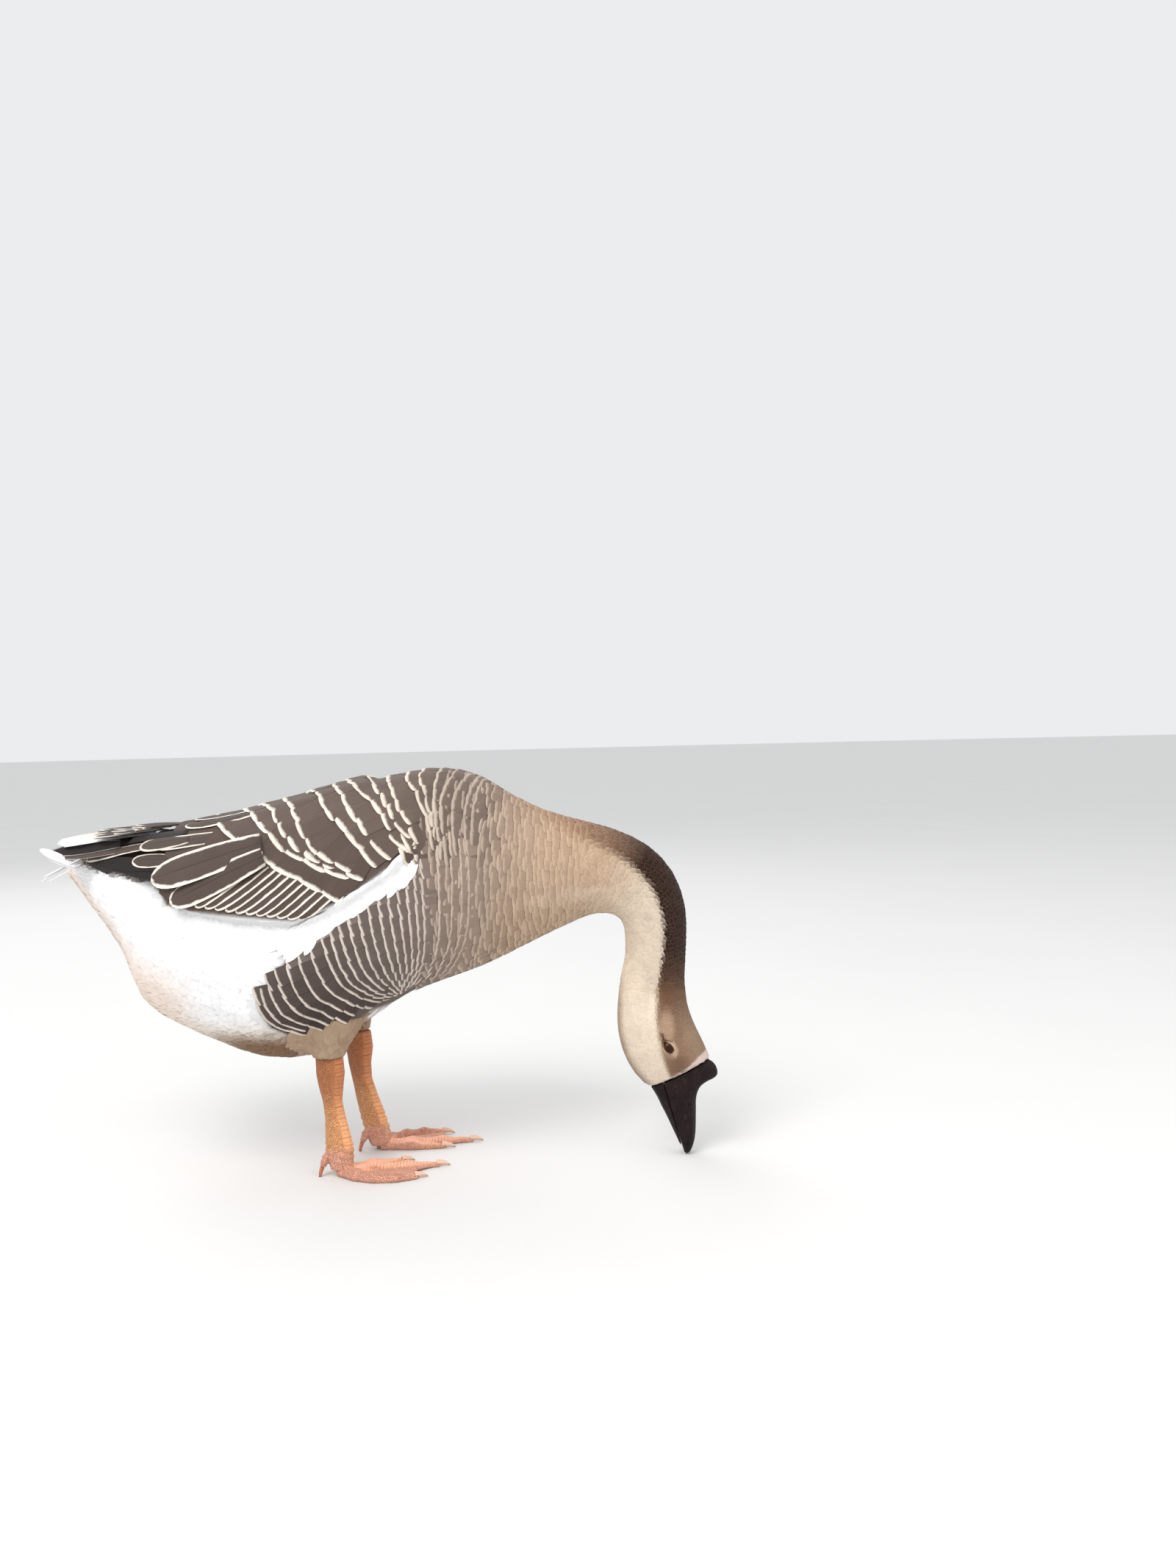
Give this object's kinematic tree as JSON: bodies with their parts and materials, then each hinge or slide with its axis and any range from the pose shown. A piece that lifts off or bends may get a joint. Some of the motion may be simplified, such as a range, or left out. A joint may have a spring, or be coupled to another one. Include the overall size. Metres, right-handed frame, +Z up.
{
  "type": "domestic goose",
  "caption": "Still life-size domestic goose, grey-brown with a dark hind neck and a dark knobbed bill, standing on webbed feet with its neck arched down to feed",
  "frame": {"origin": "on the floor, under the middle of the bounding box", "axes": "+X the way the bird faces, +Z up, so its right side is towards -Y"},
  "size_m": [0.6834, 0.2248, 0.414],
  "materials": {
    "body_feathers": "soft matte feathers",
    "neck_feathers": "soft matte feathers",
    "head_feathers": "short matte feathers",
    "wing_feathers": "smooth feathers with pale edges",
    "tail_feathers": "smooth feathers, white with dark centres",
    "thigh_feathers": "soft matte feathers",
    "bill_horn": "satin horn",
    "eye": "glossy",
    "leg_skin": "scaly matte skin",
    "claw_horn": "satin horn"
  },
  "bodies": {
    "root": {"trunk": "body_feathers", "neck_base": "neck_feathers", "neck_bend": "neck_feathers", "neck_upper": "neck_feathers", "head": "head_feathers", "eye_right": "eye", "eye_left": "eye", "bill_knob": "bill_horn", "bill_upper": "bill_horn", "bill_lower": "bill_horn", "tail": "tail_feathers", "wing_right": "wing_feathers", "wing_left": "wing_feathers", "primaries_right": "wing_feathers", "primaries_left": "wing_feathers", "thigh_right": "thigh_feathers", "thigh_left": "thigh_feathers", "shank_right": "leg_skin", "shank_left": "leg_skin", "foot_right": "leg_skin", "foot_left": "leg_skin", "hind_toe_right": "leg_skin", "hind_toe_left": "leg_skin", "claw_inner_right": "claw_horn", "claw_middle_right": "claw_horn", "claw_outer_right": "claw_horn", "claw_hind_right": "claw_horn", "claw_inner_left": "claw_horn", "claw_middle_left": "claw_horn", "claw_outer_left": "claw_horn", "claw_hind_left": "claw_horn"}
  },
  "joints": []
}
